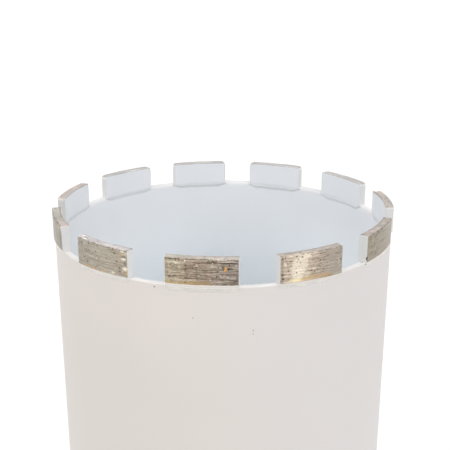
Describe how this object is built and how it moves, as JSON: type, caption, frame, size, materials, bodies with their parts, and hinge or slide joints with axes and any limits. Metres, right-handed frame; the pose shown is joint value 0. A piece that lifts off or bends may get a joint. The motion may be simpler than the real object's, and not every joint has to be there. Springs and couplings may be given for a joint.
{
  "type": "diamond core bit",
  "caption": "Segmented wet diamond core bit: a thin steel barrel with brazed diamond segments on its rim and a threaded spindle hub on its closed end.",
  "frame": {"origin": "centre of the spindle hub's end face, which the bit stands on", "axes": "+Z along the bit's axis from the hub to the crown; -Y through the middle of segment_01"},
  "size_m": [0.132, 0.1317, 0.4],
  "materials": {
    "barrel_paint": "satin warm white spray paint on steel",
    "plate_paint": "satin warm white spray paint on turned steel",
    "weld_paint": "satin white spray paint over a rippled weld bead",
    "hub_steel": "turned bare steel",
    "diamond_segment": "ground sintered metal with fine scratches and pits, sprayed white inside and on its ends",
    "silver_braze": "pale golden braze, mostly sprayed over"
  },
  "bodies": {
    "root": {"barrel_tube": "barrel_paint", "back_plate": "plate_paint", "barrel_weld": "weld_paint", "threaded_hub": "hub_steel", "hub_weld": "weld_paint", "segment_01": "diamond_segment", "braze_seam_01": "silver_braze", "segment_02": "diamond_segment", "braze_seam_02": "silver_braze", "segment_03": "diamond_segment", "braze_seam_03": "silver_braze", "segment_04": "diamond_segment", "braze_seam_04": "silver_braze", "segment_05": "diamond_segment", "braze_seam_05": "silver_braze", "segment_06": "diamond_segment", "braze_seam_06": "silver_braze", "segment_07": "diamond_segment", "braze_seam_07": "silver_braze", "segment_08": "diamond_segment", "braze_seam_08": "silver_braze", "segment_09": "diamond_segment", "braze_seam_09": "silver_braze", "segment_10": "diamond_segment", "braze_seam_10": "silver_braze", "segment_11": "diamond_segment", "braze_seam_11": "silver_braze"}
  },
  "joints": []
}
